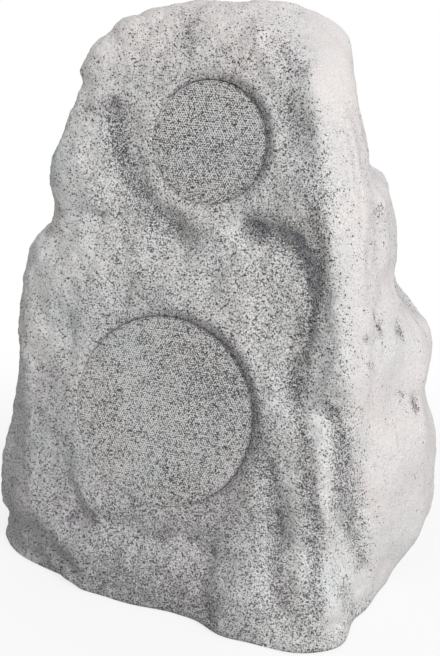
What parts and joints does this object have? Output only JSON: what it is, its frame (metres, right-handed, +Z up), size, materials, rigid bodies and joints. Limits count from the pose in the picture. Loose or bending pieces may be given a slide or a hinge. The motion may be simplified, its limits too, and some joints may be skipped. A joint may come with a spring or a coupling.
{
  "type": "rock shaped garden speaker",
  "caption": "Outdoor speaker in a hollow cast boulder with a large and a small round grille sunk in its leaning front, cone drivers inside and a cable gland at the back.",
  "frame": {"origin": "middle of the overall box on the ground under the feet", "axes": "+Z up, -Y towards the front with the grilles, +X to the right seen from the front"},
  "size_m": [0.3982, 0.318, 0.491],
  "materials": {
    "rock_coat": "speckled granite coat on a cast resin shell",
    "grille_paint": "perforated steel sprayed with the shell's granite coat",
    "foam_rubber": "closed cell foam",
    "black_steel": "black painted pressed steel",
    "rubber_black": "black rubber",
    "cone_paper": "coated paper",
    "cap_plastic": "black plastic",
    "copper_coil": "enamelled copper wire",
    "spider_cloth": "resin treated cotton",
    "plated_steel": "zinc plated steel",
    "ferrite": "sintered ferrite",
    "tag_board": "phenolic board",
    "base_plastic": "black plastic",
    "board_green": "circuit board",
    "resistor_ceramic": "white ceramic body",
    "lead_sheath": "soft sheath",
    "gland_plastic": "black nylon"
  },
  "bodies": {
    "enclosure": {"rock_shell": "rock_coat", "woofer_grille": "grille_paint", "woofer_gasket": "foam_rubber", "woofer_frame": "black_steel", "woofer_surround": "rubber_black", "woofer_spider": "spider_cloth", "woofer_top_plate": "plated_steel", "woofer_magnet": "ferrite", "woofer_yoke": "plated_steel", "woofer_terminals": "tag_board", "woofer_screws": "plated_steel", "tweeter_grille": "grille_paint", "tweeter_gasket": "foam_rubber", "tweeter_frame": "black_steel", "tweeter_surround": "rubber_black", "tweeter_spider": "spider_cloth", "tweeter_top_plate": "plated_steel", "tweeter_magnet": "ferrite", "tweeter_yoke": "plated_steel", "tweeter_terminals": "tag_board", "tweeter_screws": "plated_steel", "base_plate": "base_plastic", "base_seal": "foam_rubber", "base_screws": "plated_steel", "foot_front_left": "rubber_black", "foot_front_right": "rubber_black", "foot_back_left": "rubber_black", "foot_back_right": "rubber_black", "foot_screws": "plated_steel", "crossover_board": "board_green", "board_spacers": "base_plastic", "board_screws": "plated_steel", "terminal_block": "tag_board", "inductor_bobbin": "base_plastic", "inductor_winding": "copper_coil", "capacitor_1": "cap_plastic", "capacitor_2": "cap_plastic", "resistor": "resistor_ceramic", "woofer_lead": "lead_sheath", "tweeter_lead": "lead_sheath", "gland_washer": "foam_rubber", "gland_body": "gland_plastic", "gland_insert": "rubber_black", "gland_cap": "gland_plastic", "gland_nut": "gland_plastic"},
    "woofer_moving": {"woofer_cone": "cone_paper", "woofer_dust_cap": "cap_plastic", "woofer_voice_coil": "copper_coil"},
    "tweeter_moving": {"tweeter_cone": "cone_paper", "tweeter_dust_cap": "cap_plastic", "tweeter_voice_coil": "copper_coil"}
  },
  "joints": [
    {"name": "woofer_travel", "type": "slide", "parent": "enclosure", "child": "woofer_moving", "axis": [0, -0.9636, 0.2672], "range_m": [-0.004, 0.004], "stiffness_N_per_m": 1600, "deforming": ["woofer_surround", "woofer_spider"]},
    {"name": "tweeter_travel", "type": "slide", "parent": "enclosure", "child": "tweeter_moving", "axis": [0, -0.9636, 0.2672], "range_m": [-0.001, 0.001], "stiffness_N_per_m": 2500, "deforming": ["tweeter_surround", "tweeter_spider"]}
  ]
}
